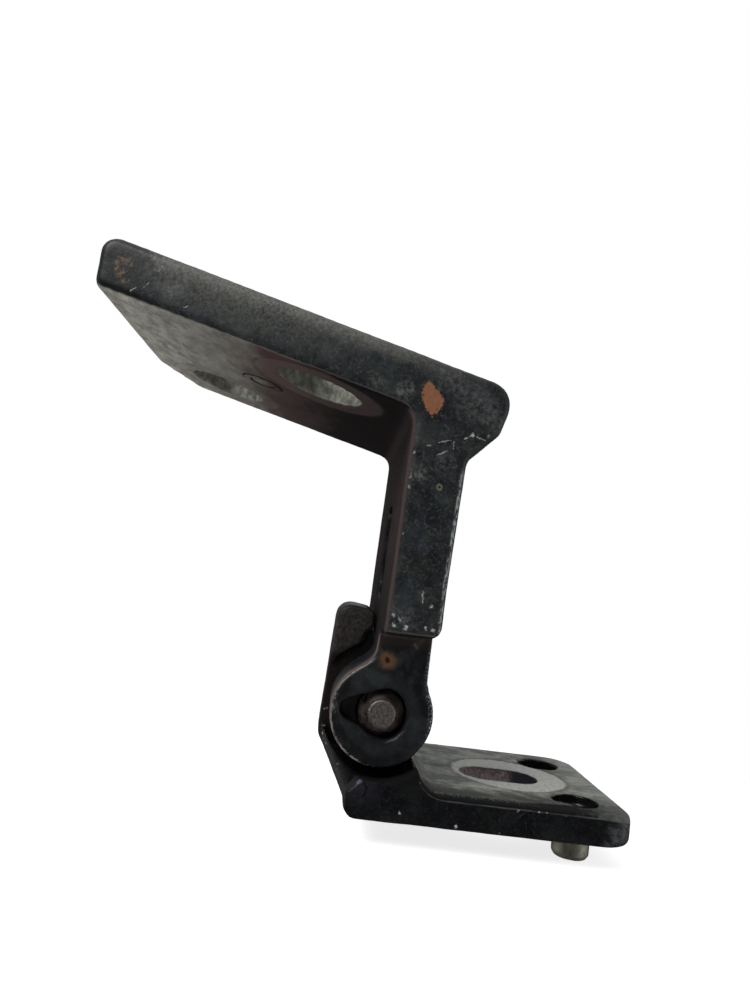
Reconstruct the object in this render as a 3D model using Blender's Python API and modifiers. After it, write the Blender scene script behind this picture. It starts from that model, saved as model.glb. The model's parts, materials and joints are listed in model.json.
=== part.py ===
"""Forged gooseneck door hinge: a body bracket, a door bracket, and the pin that joins them.

Frame: +X runs along the body bracket's base, +Y along the pin, +Z up from the base.
The origin lies on the base's mounting face, straight below the pin, at mid-width.
All lengths are in metres. The hinge is modelled fully open, against its stop.
"""
import math

import bmesh
import bpy
from mathutils import Matrix, Vector

MM = 0.001

# Pin and bushes
PIN_HEIGHT = 17.6 * MM
PIN_RADIUS = 4.0 * MM
PIN_TIP_RADIUS = 2.3 * MM
PIN_NOSE_LENGTH = 2.6 * MM
PIN_HEAD_RADIUS = 6.0 * MM
PIN_HEAD_LENGTH = 2.4 * MM
BUSH_WALL = 1.0 * MM
BUSH_FLANGE_RADIUS = 6.6 * MM
BUSH_FLANGE = 0.9 * MM
RUNNING_GAP = 0.1 * MM

# Body bracket
BASE_LEFT = -4.7 * MM
BASE_RIGHT = 46.0 * MM
BASE_HALF_WIDTH = 21.75 * MM
BASE_THICKNESS = 5.2 * MM
BASE_END_CORNER = 6.0 * MM
BASE_LEFT_ROUND = 2.8 * MM
EDGE_ROUND = 1.1 * MM
EAR_HALF_THICKNESS = 6.5 * MM
FINGER_HALF_THICKNESS = 8.0 * MM
EAR_RADIUS = 10.0 * MM
EAR_LEFT = -10.35 * MM
FINGER_LEFT = -9.45 * MM
FINGER_TOP = 17.4 * MM
FINGER_RIGHT = -2.3 * MM
FINGER_RIGHT_TOP = 16.5 * MM
FINGER_RELIEF = 10.8 * MM
LUG_RELIEF = 11.0 * MM
SLOT_CENTRE_X = 25.9 * MM
SLOT_LENGTH = 15.2 * MM
SLOT_WIDTH = 9.5 * MM
LOCATING_X = 37.1 * MM
LOCATING_HALF_SPACING = 12.9 * MM
LOCATING_RADIUS = 4.15 * MM
DOWEL_RADIUS = 3.3 * MM
DOWEL_PROUD = 4.4 * MM
DOWEL_RECESS = 2.0 * MM

# Door bracket
DOOR_FRONT = -31.5 * MM
DOOR_BACK = 28.5 * MM
PLATE_TILT = math.radians(13.4)
PLATE_THICKNESS = 9.0 * MM
PLATE_REACH = 55.5 * MM
PLATE_TOP_REACH = 57.5 * MM
CORNER_X = -1.4 * MM
CORNER_Z = 50.5 * MM
ARM_INNER_X = -1.9 * MM
ARM_OUTER_X = 7.2 * MM
ARM_OUTER_TOP_X = 8.0 * MM
HEEL_X = 13.3 * MM
FOOT_Z = 14.0 * MM
FOOT_ROUND = 2.2 * MM
EYE_RADIUS = 8.8 * MM
LUG_OUTER = 21.5 * MM
LUG_INNER = 7.6 * MM
DOOR_HOLE_RADIUS = 7.8 * MM
DOOR_HOLES = ((17.0 * MM, -18.3 * MM), (39.1 * MM, 14.3 * MM))
WINDOW_HALF_WIDTH = 7.5 * MM
WINDOW_LOW = 19.0 * MM
WINDOW_HIGH = 37.0 * MM
WINDOW_CORNER = 4.0 * MM
POCKET_DEPTH = 3.5 * MM

# Orientations that take a drawing's x and y to the object's axes
DRAWN_XY = Matrix.Identity(4)
DRAWN_XZ = Matrix.Rotation(math.pi / 2, 4, "X")
DRAWN_YZ = Matrix(((0, 0, 1, 0), (1, 0, 0, 0), (0, 1, 0, 0), (0, 0, 0, 1)))


def clear_scene():
    """Remove whatever the file holds before the hinge is built."""
    for item in list(bpy.data.objects):
        bpy.data.objects.remove(item)


def new_collection(name):
    """Make a collection and link it to the scene."""
    collection = bpy.data.collections.new(name)
    bpy.context.scene.collection.children.link(collection)
    return collection


def material(name, colour, roughness, metallic):
    """A plain Principled material."""
    result = bpy.data.materials.new(name)
    result.use_nodes = True
    shader = result.node_tree.nodes["Principled BSDF"]
    shader.inputs["Base Color"].default_value = (*colour, 1.0)
    shader.inputs["Roughness"].default_value = roughness
    shader.inputs["Metallic"].default_value = metallic
    return result


def arc(centre, radius, start, end, steps):
    """Points on an arc between two angles in degrees, both ends included."""
    points = []
    for step in range(steps + 1):
        angle = math.radians(start + (end - start) * step / steps)
        points.append((centre[0] + radius * math.cos(angle), centre[1] + radius * math.sin(angle)))
    return points


def rounded(corners, steps=5):
    """An outline from (x, y, radius) corners: each one with a radius becomes an arc."""
    outline = []
    count = len(corners)
    for index, (x, y, radius) in enumerate(corners):
        here = Vector((x, y))
        if radius == 0:
            outline.append((x, y))
            continue
        before = (Vector(corners[index - 1][:2]) - here).normalized()
        after = (Vector(corners[(index + 1) % count][:2]) - here).normalized()
        half = before.angle(after) / 2
        centre = here + (before + after).normalized() * radius / math.sin(half)
        start = here + before * radius / math.tan(half) - centre
        end = here + after * radius / math.tan(half) - centre
        turn = start.angle_signed(end)
        for step in range(steps + 1):
            angle = -turn * step / steps
            spoke = Matrix.Rotation(angle, 2) @ start
            outline.append(tuple(centre + spoke))
    return outline


def solid(name, outline, low, high, drawn, edge=0.0):
    """A flat outline extruded from low to high across its drawing plane, as a closed mesh."""
    curve = bpy.data.curves.new(name, "CURVE")
    curve.dimensions = "2D"
    curve.fill_mode = "BOTH"
    curve.extrude = (high - low) / 2 - edge
    curve.bevel_depth = edge
    curve.bevel_resolution = 2
    curve.offset = -edge
    spline = curve.splines.new("POLY")
    spline.points.add(len(outline) - 1)
    for point, (x, y) in zip(spline.points, outline):
        point.co = (x, y, 0.0, 1.0)
    spline.use_cyclic_u = True
    sketch = bpy.data.objects.new(name + "_sketch", curve)
    bpy.context.scene.collection.objects.link(sketch)
    across = drawn.to_3x3() @ Vector((0.0, 0.0, 1.0))
    middle = (low + high) / 2
    if across.y < -0.5:
        middle = -middle
    sketch.matrix_world = drawn @ Matrix.Translation((0.0, 0.0, middle))
    bpy.context.view_layer.update()
    depsgraph = bpy.context.evaluated_depsgraph_get()
    mesh = bpy.data.meshes.new_from_object(sketch.evaluated_get(depsgraph))
    mesh.transform(sketch.matrix_world)
    bpy.data.objects.remove(sketch)
    close_mesh(mesh)
    return bpy.data.objects.new(name, mesh)


def close_mesh(mesh):
    """Weld a mesh's loose seams and point its faces outwards."""
    work = bmesh.new()
    work.from_mesh(mesh)
    bmesh.ops.remove_doubles(work, verts=work.verts, dist=0.000001)
    bmesh.ops.dissolve_degenerate(work, edges=work.edges, dist=0.000001)
    bmesh.ops.recalc_face_normals(work, faces=work.faces)
    work.to_mesh(mesh)
    work.free()


def cylinder(name, radius, low, high, x, z, sides=64):
    """A round bar along Y."""
    work = bmesh.new()
    turn = Matrix.Translation((x, (low + high) / 2, z)) @ Matrix.Rotation(math.pi / 2, 4, "X")
    bmesh.ops.create_cone(
        work, cap_ends=True, segments=sides, radius1=radius, radius2=radius, depth=high - low, matrix=turn
    )
    mesh = bpy.data.meshes.new(name)
    work.to_mesh(mesh)
    work.free()
    return bpy.data.objects.new(name, mesh)


def hull(name, points):
    """The convex solid round a few points."""
    work = bmesh.new()
    for point in points:
        work.verts.new(point)
    bmesh.ops.convex_hull(work, input=work.verts)
    bmesh.ops.recalc_face_normals(work, faces=work.faces)
    mesh = bpy.data.meshes.new(name)
    work.to_mesh(mesh)
    work.free()
    return bpy.data.objects.new(name, mesh)


def turned(name, profile, closed, sides=64):
    """A profile of (radius, y) points turned about the pin's axis with a Screw modifier."""
    mesh = bpy.data.meshes.new(name)
    vertices = [(radius, 0.0, height) for radius, height in profile]
    edges = [(index, index + 1) for index in range(len(profile) - 1)]
    if closed:
        edges.append((len(profile) - 1, 0))
    mesh.from_pydata(vertices, edges, [])
    result = bpy.data.objects.new(name, mesh)
    screw = result.modifiers.new("turn", "SCREW")
    screw.axis = "Z"
    screw.steps = sides
    screw.render_steps = sides
    screw.use_merge_vertices = True
    screw.merge_threshold = 0.000001
    screw.use_normal_calculate = False
    return result


class Bench:
    """The collections that hold the finished pieces and the shapes that cut or build them."""

    def __init__(self):
        self.parts = new_collection("gooseneck_door_hinge")
        self.tools = new_collection("cutters")

    def add_part(self, item, finish):
        """Put a piece in the parts collection with its material."""
        self.parts.objects.link(item)
        item.data.materials.clear()
        item.data.materials.append(finish)
        return item

    def apply(self, item, tool, operation):
        """Join, cut or intersect a piece with a tool that stays out of the render."""
        self.tools.objects.link(tool)
        tool.hide_render = True
        tool.display_type = "WIRE"
        boolean = item.modifiers.new(tool.name, "BOOLEAN")
        boolean.operation = operation
        boolean.object = tool
        boolean.solver = "EXACT"


def ear_outline():
    """The ear that carries the bushes, with the stop finger standing up at its left."""
    corners = [
        (-3.5 * MM, -16.0 * MM, 0),
        (8.0 * MM, -16.0 * MM, 0),
    ]
    outline = rounded(corners)
    outline += arc((0.0, 0.0), EAR_RADIUS, -36.9, 98.0, 22)
    finger = [
        (-2.0 * MM, 12.0 * MM, 0),
        (FINGER_RIGHT, 13.6 * MM, 0),
        (FINGER_RIGHT, FINGER_RIGHT_TOP, 1.6 * MM),
        (FINGER_LEFT, FINGER_TOP, 2.8 * MM),
        (EAR_LEFT, -7.4 * MM, 3.5 * MM),
    ]
    return raised(outline + rounded(finger_with_neighbours(finger, outline[-1], outline[0]))[1:-1])


def finger_with_neighbours(corners, before, after):
    """Add plain end points to a run of corners, so that its arcs meet its neighbours."""
    return [(*before, 0)] + corners + [(*after, 0)]


def finger_outline():
    """The finger's full-thickness head, above the lugs' clearance radius."""
    outline = arc((0.0, 0.0), FINGER_RELIEF, 147.0, 113.0, 8)
    head = [
        (-4.05 * MM, 11.4 * MM, 1.0 * MM),
        (FINGER_RIGHT, 13.7 * MM, 1.0 * MM),
        (FINGER_RIGHT, FINGER_RIGHT_TOP, 1.6 * MM),
        (FINGER_LEFT, FINGER_TOP, 2.8 * MM),
        (-9.85 * MM, 6.3 * MM, 0),
    ]
    return raised(outline + rounded(finger_with_neighbours(head, outline[-1], outline[0]))[1:-1])


def outside_corner(corner, inward, radius):
    """The waste outside a round put on a square corner: inward is the material's side in x and y."""
    margin = 2.0 * MM
    x, y = corner
    side_x, side_y = inward
    outline = [
        (x - side_x * margin, y + side_y * radius),
        (x - side_x * margin, y - side_y * margin),
        (x + side_x * radius, y - side_y * margin),
    ]
    for step in range(9):
        angle = math.radians(90.0 * step / 8)
        across = radius * (1.0 - math.sin(angle))
        up = radius * (1.0 - math.cos(angle))
        outline.append((x + side_x * across, y + side_y * up))
    return outline


def raised(outline):
    """Move an outline drawn round the pin up to the pin's height."""
    return [(x, z + PIN_HEIGHT) for x, z in outline]


def make_body_bracket(bench, finish):
    """Base plate, block, ear and stop finger in one forging."""
    plan = rounded(
        [
            (BASE_LEFT, -BASE_HALF_WIDTH, 2.0 * MM),
            (BASE_RIGHT, -BASE_HALF_WIDTH, BASE_END_CORNER),
            (BASE_RIGHT, BASE_HALF_WIDTH, BASE_END_CORNER),
            (BASE_LEFT, BASE_HALF_WIDTH, 2.0 * MM),
        ],
        8,
    )
    bracket = solid("body_bracket", plan, 0.0, BASE_THICKNESS, DRAWN_XY, EDGE_ROUND)
    bench.add_part(bracket, finish)

    block = rounded(
        [
            (BASE_LEFT + 0.02 * MM, 1.2 * MM, 0),
            (13.5 * MM, 1.2 * MM, 0),
            (13.5 * MM, BASE_THICKNESS - 0.05 * MM, 0),
            (7.3 * MM, BASE_THICKNESS - 0.05 * MM, 5.0 * MM),
            (7.3 * MM, 11.2 * MM, 0),
            (0.0, 11.6 * MM, 0),
            (-1.4 * MM, 7.6 * MM, 0),
            (BASE_LEFT + 0.02 * MM, 4.4 * MM, 1.2 * MM),
        ],
        8,
    )
    half_block = BASE_HALF_WIDTH - 0.03 * MM
    bench.apply(bracket, solid("block", block, -half_block, half_block, DRAWN_XZ, 0.8 * MM), "UNION")

    for side, name in ((-1, "gusset_front"), (1, "gusset_rear")):
        near = side * (EAR_HALF_THICKNESS - 1.0 * MM)
        far = side * (BASE_HALF_WIDTH - 1.4 * MM)
        points = [
            (EAR_LEFT + 0.2 * MM, near, PIN_HEIGHT - 5.0 * MM),
            (EAR_LEFT + 0.5 * MM, near, PIN_HEIGHT - 8.0 * MM),
            (-4.5 * MM, near, 2.6 * MM),
            (2.0 * MM, near, 2.6 * MM),
            (2.0 * MM, near, PIN_HEIGHT - 4.0 * MM),
            (BASE_LEFT + 0.3 * MM, far, 4.8 * MM),
            (BASE_LEFT + 0.3 * MM, far, 2.6 * MM),
            (2.0 * MM, far, 2.6 * MM),
            (2.0 * MM, far, 7.4 * MM),
        ]
        bench.apply(bracket, hull(name, points), "UNION")

    for low, high, name in (
        (-30.0 * MM, -EAR_HALF_THICKNESS, "relief_front"),
        (EAR_HALF_THICKNESS, 30.0 * MM, "relief_rear"),
    ):
        bench.apply(bracket, cylinder(name, LUG_RELIEF, low, high, 0.0, PIN_HEIGHT, 72), "DIFFERENCE")

    ear = solid("ear", ear_outline(), -EAR_HALF_THICKNESS - 0.02 * MM, EAR_HALF_THICKNESS + 0.02 * MM, DRAWN_XZ)
    bench.apply(bracket, ear, "UNION")
    head = solid("finger", finger_outline(), -FINGER_HALF_THICKNESS, FINGER_HALF_THICKNESS, DRAWN_XZ, 0.6 * MM)
    bench.apply(bracket, head, "UNION")
    corner_round = outside_corner((BASE_LEFT, 0.0), (1.0, 1.0), BASE_LEFT_ROUND)
    corner_cut = solid("base_left_round", corner_round, -30.0 * MM, 30.0 * MM, DRAWN_XZ)
    bench.apply(bracket, corner_cut, "DIFFERENCE")
    bore = cylinder(
        "bush_bore", PIN_RADIUS + 2 * RUNNING_GAP + BUSH_WALL, -10.0 * MM, 10.0 * MM, 0.0, PIN_HEIGHT
    )
    bench.apply(bracket, bore, "DIFFERENCE")

    half_run = (SLOT_LENGTH - SLOT_WIDTH) / 2
    slot = arc((SLOT_CENTRE_X + half_run, 0.0), SLOT_WIDTH / 2, -90, 90, 16)
    slot += arc((SLOT_CENTRE_X - half_run, 0.0), SLOT_WIDTH / 2, 90, 270, 16)
    bench.apply(bracket, solid("bolt_slot", slot, -2.0 * MM, 10.0 * MM, DRAWN_XY), "DIFFERENCE")

    for y, radius, low, name in (
        (LOCATING_HALF_SPACING, LOCATING_RADIUS, -2.0 * MM, "locating_hole_rear"),
        (-LOCATING_HALF_SPACING, LOCATING_RADIUS, BASE_THICKNESS - DOWEL_RECESS, "locating_recess_front"),
        (-LOCATING_HALF_SPACING, DOWEL_RADIUS + RUNNING_GAP, -2.0 * MM, "dowel_hole"),
    ):
        ring = arc((LOCATING_X, y), radius, 0, 360, 40)[:-1]
        bench.apply(bracket, solid(name, ring, low, 10.0 * MM, DRAWN_XY), "DIFFERENCE")
    return bracket


def along_plate(distance, height):
    """A point in the XZ plane, by its distance along the plate and its height over the underside."""
    x = CORNER_X - distance * math.cos(PLATE_TILT) + height * math.sin(PLATE_TILT)
    z = CORNER_Z + distance * math.sin(PLATE_TILT) + height * math.cos(PLATE_TILT)
    return x, z


def plate_matrix():
    """The plate's own frame: x along it to the tip, y across it, z down through it."""
    x, z = along_plate(0.0, 0.0)
    axis_x = Vector((-math.cos(PLATE_TILT), 0.0, math.sin(PLATE_TILT)))
    axis_y = Vector((0.0, 1.0, 0.0))
    axis_z = axis_x.cross(axis_y)
    turn = Matrix((axis_x, axis_y, axis_z)).transposed().to_4x4()
    return Matrix.Translation((x, 0.0, z + PIN_HEIGHT)) @ turn


def door_side_view():
    """The door bracket seen along the pin: plate, heel, arm, neck and eye."""
    heel_top_x, heel_top_z = along_plate(-(HEEL_X + 1.0 * MM) / math.cos(PLATE_TILT), PLATE_THICKNESS)
    upper = [
        (ARM_OUTER_X - 0.1 * MM, 9.0 * MM, 4.0 * MM),
        (ARM_OUTER_X, 22.0 * MM, 0),
        (ARM_OUTER_TOP_X, 43.2 * MM, 2.5 * MM),
        (HEEL_X - 0.4 * MM, 48.2 * MM, 2.0 * MM),
        (heel_top_x, heel_top_z, 4.0 * MM),
        (*along_plate(PLATE_TOP_REACH, PLATE_THICKNESS), 2.6 * MM),
        (*along_plate(PLATE_REACH, 0.0), 1.6 * MM),
        (CORNER_X, CORNER_Z, 3.0 * MM),
        (ARM_INNER_X, 14.6 * MM, 0),
        (ARM_INNER_X - 0.2 * MM, 9.4 * MM, 3.0 * MM),
    ]
    eye = arc((0.0, 0.0), EYE_RADIUS, 134.0, 396.0, 52)
    outline = eye + rounded(finger_with_neighbours(upper, eye[-1], eye[0]), 6)[1:-1]
    return raised(outline)


def door_front_view():
    """The door bracket seen along X: a wide arm that steps in to two lugs with a gap between."""
    side = 31.6 * MM
    deep = 3.0 * MM
    top = 95.0 * MM
    foot = FOOT_Z + PIN_HEIGHT
    return rounded(
        [
            (-side, top, 0),
            (-side, foot, 2.0 * MM),
            (-LUG_OUTER, foot, 2.6 * MM),
            (-LUG_OUTER, deep, 0),
            (-LUG_INNER, deep, 0),
            (-LUG_INNER, foot + 0.1 * MM, 2.0 * MM),
            (LUG_INNER, foot + 0.1 * MM, 2.0 * MM),
            (LUG_INNER, deep, 0),
            (LUG_OUTER, deep, 0),
            (LUG_OUTER, foot, 2.6 * MM),
            (side, foot, 0),
            (side, top, 0),
        ]
    )


def make_door_bracket(bench, finish):
    """L-shaped forging with two bolt holes, a window in its arm and two lugs for the pin."""
    bracket = solid("door_bracket", door_side_view(), DOOR_FRONT, DOOR_BACK, DRAWN_XZ, EDGE_ROUND)
    bench.add_part(bracket, finish)
    steps = solid("lug_steps", door_front_view(), -90.0 * MM, 40.0 * MM, DRAWN_YZ)
    bench.apply(bracket, steps, "INTERSECT")

    window = rounded(
        [
            (-WINDOW_HALF_WIDTH, PIN_HEIGHT + WINDOW_LOW, WINDOW_CORNER),
            (WINDOW_HALF_WIDTH, PIN_HEIGHT + WINDOW_LOW, WINDOW_CORNER),
            (WINDOW_HALF_WIDTH, PIN_HEIGHT + WINDOW_HIGH, WINDOW_CORNER),
            (-WINDOW_HALF_WIDTH, PIN_HEIGHT + WINDOW_HIGH, WINDOW_CORNER),
        ]
    )
    bench.apply(bracket, solid("window", window, -8.0 * MM, 14.0 * MM, DRAWN_YZ), "DIFFERENCE")

    foot_corner = (ARM_OUTER_X - 0.05 * MM, PIN_HEIGHT + FOOT_Z)
    foot_waste = outside_corner(foot_corner, (-1.0, 1.0), FOOT_ROUND)
    for low, high, name in (
        (DOOR_FRONT - 1.0 * MM, -LUG_OUTER, "foot_round_front"),
        (LUG_OUTER, DOOR_BACK + 1.0 * MM, "foot_round_rear"),
    ):
        bench.apply(bracket, solid(name, foot_waste, low, high, DRAWN_XZ), "DIFFERENCE")

    pin_hole = cylinder("pin_hole", PIN_RADIUS + RUNNING_GAP, -40.0 * MM, 40.0 * MM, 0.0, PIN_HEIGHT)
    bench.apply(bracket, pin_hole, "DIFFERENCE")
    pocket = arc((0.0, 0.0), PIN_RADIUS + 0.4 * MM, -82, 82, 16)
    pocket += arc((-5.2 * MM, 0.3 * MM), 2.0 * MM, 110, 250, 10)
    pocket_cut = solid(
        "pin_pocket", raised(pocket), -LUG_OUTER - 3.0 * MM, -LUG_OUTER + POCKET_DEPTH, DRAWN_XZ
    )
    bench.apply(bracket, pocket_cut, "DIFFERENCE")

    plate = plate_matrix()
    for (along, across), name in zip(DOOR_HOLES, ("door_hole_front", "door_hole_rear")):
        ring = arc((along, across), DOOR_HOLE_RADIUS, 0, 360, 56)[:-1]
        bench.apply(bracket, solid(name, ring, -20.0 * MM, 20.0 * MM, plate), "DIFFERENCE")
    corner = [
        (PLATE_REACH + 0.6 * MM, 11.4 * MM),
        (PLATE_REACH + 9.0 * MM, 11.4 * MM),
        (PLATE_REACH + 9.0 * MM, 40.0 * MM),
        (42.1 * MM, 40.0 * MM),
    ]
    bench.apply(bracket, solid("plate_corner", corner, -20.0 * MM, 20.0 * MM, plate), "DIFFERENCE")
    return bracket


def make_pin(bench, finish):
    """Pin with a coned nose at the front and a low head behind the rear lug."""
    front = -LUG_OUTER + 0.2 * MM
    back = LUG_OUTER + 0.15 * MM
    profile = [
        (0.0, back + PIN_HEAD_LENGTH),
        (PIN_HEAD_RADIUS - 0.8 * MM, back + PIN_HEAD_LENGTH),
        (PIN_HEAD_RADIUS, back + PIN_HEAD_LENGTH - 0.8 * MM),
        (PIN_HEAD_RADIUS, back),
        (PIN_RADIUS, back),
        (PIN_RADIUS, front + PIN_NOSE_LENGTH),
        (PIN_TIP_RADIUS + 0.2 * MM, front + 0.4 * MM),
        (PIN_TIP_RADIUS, front),
        (0.0, front),
    ]
    pin = turned("hinge_pin", profile, closed=False)
    bench.add_part(pin, finish)
    return pin


def make_bush(bench, finish, name, facing):
    """A flanged bush: facing is -1 for the front one and 1 for the rear one."""
    inner = PIN_RADIUS + RUNNING_GAP
    outer = inner + BUSH_WALL
    start = 0.3 * MM
    face = EAR_HALF_THICKNESS + RUNNING_GAP
    tip = face + BUSH_FLANGE
    profile = [(inner, tip), (BUSH_FLANGE_RADIUS, tip), (BUSH_FLANGE_RADIUS, face), (outer, face)]
    profile += [(outer, start), (inner, start)]
    if facing < 0:
        profile = [(radius, -y) for radius, y in reversed(profile)]
    bush = turned(name, profile, closed=True)
    bench.add_part(bush, finish)
    return bush


def make_dowel(bench, finish):
    """The locating dowel, pressed in from below and chamfered at its free end."""
    top = BASE_THICKNESS - DOWEL_RECESS - 0.2 * MM
    chamfer = 0.7 * MM
    profile = [
        (0.0, top),
        (DOWEL_RADIUS, top),
        (DOWEL_RADIUS, -DOWEL_PROUD + chamfer),
        (DOWEL_RADIUS - 0.5 * MM, -DOWEL_PROUD),
        (0.0, -DOWEL_PROUD),
    ]
    dowel = turned("locating_dowel", profile, closed=False, sides=40)
    dowel.location = (LOCATING_X, -LOCATING_HALF_SPACING, 0.0)
    bench.add_part(dowel, finish)
    return dowel


def lay_along_pin(item):
    """Turn a piece made along Z so that it lies along the pin, its profile's y along +Y."""
    item.rotation_euler = (-math.pi / 2, 0.0, 0.0)
    item.location = (0.0, 0.0, PIN_HEIGHT)


def hang_on_hinge_axis(bench, items):
    """Parent the moving pieces to an empty on the pin's axis."""
    axis = bpy.data.objects.new("hinge_axis", None)
    axis.location = (0.0, 0.0, PIN_HEIGHT)
    bench.parts.objects.link(axis)
    bpy.context.view_layer.update()
    for item in items:
        item.parent = axis
        item.matrix_parent_inverse = axis.matrix_world.inverted()


def smooth_round_faces(items):
    """Shade round faces smooth and keep the real edges sharp."""
    for item in items:
        item.data.shade_smooth()
        item.data.set_sharp_from_angle(angle=math.radians(32.0))


def main():
    """Build the hinge."""
    clear_scene()
    bench = Bench()
    paint = material("black_paint", (0.035, 0.040, 0.042), 0.45, 0.3)
    door_paint = material("door_black_paint", (0.040, 0.043, 0.045), 0.42, 0.3)
    steel = material("pin_steel", (0.34, 0.31, 0.30), 0.38, 1.0)
    dowel_steel = material("dowel_steel", (0.42, 0.40, 0.36), 0.35, 1.0)
    bronze = material("bush_bronze", (0.42, 0.28, 0.14), 0.4, 1.0)

    body = make_body_bracket(bench, paint)
    door = make_door_bracket(bench, door_paint)
    pin = make_pin(bench, steel)
    front_bush = make_bush(bench, bronze, "bush_front", -1)
    rear_bush = make_bush(bench, bronze.copy(), "bush_rear", 1)
    for item in (pin, front_bush, rear_bush):
        lay_along_pin(item)
    dowel = make_dowel(bench, dowel_steel)
    hang_on_hinge_axis(bench, (door, pin))
    smooth_round_faces((body, door, pin, front_bush, rear_bush, dowel))


main()
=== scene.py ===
"""Looks of the gooseneck door hinge: worn black forgings, a bare pin, bushes and a dowel.

Every piece is a fine skin grown on its CAD solid, so it keeps the solid's size and place.
Places are in millimetres in the hinge's own frame: +X along the base, +Y along the pin, +Z up.
"""
import json
import math

import bmesh
import bpy
import numpy as np
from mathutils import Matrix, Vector, noise


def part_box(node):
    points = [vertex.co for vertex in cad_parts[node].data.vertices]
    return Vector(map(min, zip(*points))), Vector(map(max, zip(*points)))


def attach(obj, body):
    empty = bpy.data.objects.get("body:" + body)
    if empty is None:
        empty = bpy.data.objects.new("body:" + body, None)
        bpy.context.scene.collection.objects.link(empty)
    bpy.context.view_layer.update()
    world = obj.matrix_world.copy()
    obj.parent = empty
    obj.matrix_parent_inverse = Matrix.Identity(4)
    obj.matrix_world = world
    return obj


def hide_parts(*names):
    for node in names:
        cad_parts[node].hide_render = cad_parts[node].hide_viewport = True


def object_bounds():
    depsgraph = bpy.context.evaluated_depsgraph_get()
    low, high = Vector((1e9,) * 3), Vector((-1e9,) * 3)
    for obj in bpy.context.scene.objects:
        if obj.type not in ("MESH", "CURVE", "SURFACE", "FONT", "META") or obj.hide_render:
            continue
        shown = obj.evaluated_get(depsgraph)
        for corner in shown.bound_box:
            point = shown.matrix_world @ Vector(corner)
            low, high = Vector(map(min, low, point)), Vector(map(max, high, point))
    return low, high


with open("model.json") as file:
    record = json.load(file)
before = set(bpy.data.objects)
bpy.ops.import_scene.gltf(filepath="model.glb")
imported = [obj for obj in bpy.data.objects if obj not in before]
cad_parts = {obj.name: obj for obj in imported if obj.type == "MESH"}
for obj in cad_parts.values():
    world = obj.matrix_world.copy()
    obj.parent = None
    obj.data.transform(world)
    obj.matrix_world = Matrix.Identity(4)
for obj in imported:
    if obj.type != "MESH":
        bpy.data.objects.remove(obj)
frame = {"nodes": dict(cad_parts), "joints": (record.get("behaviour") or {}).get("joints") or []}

MM = 0.001

# Camera of the product view: place in metres, turn in degrees, lens in millimetres
CAMERA_PLACE = (-0.0110, -0.1535, 0.0410)
CAMERA_TURN = (95.4208, -7.2508, -2.9881)
CAMERA_LENS = 27.72
CAMERA_NEAR = 0.001

# Directions in the hinge's frame
LEFT = (-1.0, 0.0, 0.0)
TO_FRONT = (0.0, -1.0, 0.0)
PIN_AXIS = (0.0, 1.0, 0.0)
UP = (0.0, 0.0, 1.0)

# The hinge's main planes and axes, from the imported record, the nodes' boxes and the part's sizes
PIN_Z = frame["joints"][0]["pos_m"][2] / MM
PIN_CENTRE = (0.0, 0.0, PIN_Z)
DOOR_FRONT_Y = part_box("door_bracket")[0].y / MM
BODY_FRONT_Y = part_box("body_bracket")[0].y / MM
LUG_FRONT_Y = -21.5
LUG_FACE = (0.0, LUG_FRONT_Y, 0.0)
EYE_RADIUS = 8.8
DISH_RADIUS = 6.85
BASE_TOP_Z = 5.2

# The door plate: where it lies, its bolt holes (along, across) and their washers' marks
PLATE_TILT = math.radians(13.4)
PLATE_THICKNESS = 9.0
PLATE_CORNER = Vector((-1.4, 0.0, PIN_Z + 50.5))
PLATE_ALONG = Vector((-math.cos(PLATE_TILT), 0.0, math.sin(PLATE_TILT)))
PLATE_DOWN = Vector((-math.sin(PLATE_TILT), 0.0, -math.cos(PLATE_TILT)))
DOOR_HOLES = ((17.0, -18.3), (39.1, 14.3))
DOOR_HOLE_RADIUS = 7.8
WASHER_RADII = (12.5, 12.0)

# The plain raised ring on the plate's underside
MARK_PLACE = (29.0, -5.5)
MARK_RADIUS = 3.2
MARK_HALF_WIDTH = 0.8
MARK_HEIGHT = 0.32

# The base's bolt slot and the washer's mark round it
SLOT_X = 25.9
SLOT_HALF_LENGTH = 7.6
SLOT_HALF_WIDTH = 4.75
WASHER_CENTRE = Vector((27.9, 0.6, BASE_TOP_Z))
SLOT_WASHER_RADIUS = 11.4


def on_plate(along, across):
    """A point by its distance along the plate from the inside corner, and across it."""
    return PLATE_CORNER + PLATE_ALONG * along + Vector((0.0, across, 0.0))


def srgb(red, green, blue):
    """A linear colour from 0-255 display values."""
    channels = []
    for value in (red, green, blue):
        share = value / 255.0
        channels.append(share / 12.92 if share <= 0.04045 else ((share + 0.055) / 1.055) ** 2.4)
    return (*channels, 1.0)


# ---------------------------------------------------------------- pieces

# Grid steps of the two forgings' skins and the distance that welds a solid's points, in millimetres
DOOR_VOXEL = 0.47
BODY_VOXEL = 0.36
WELD_DISTANCE = 0.001
# How far a seed of 1 moves each kind of noise
PRESS_STEP = (17.3, 9.1, 5.7)
NOISE_STEP = (31.7, 13.1, 7.9)
DOTS_STEP = (11.3, 4.7, 8.9)


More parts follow.
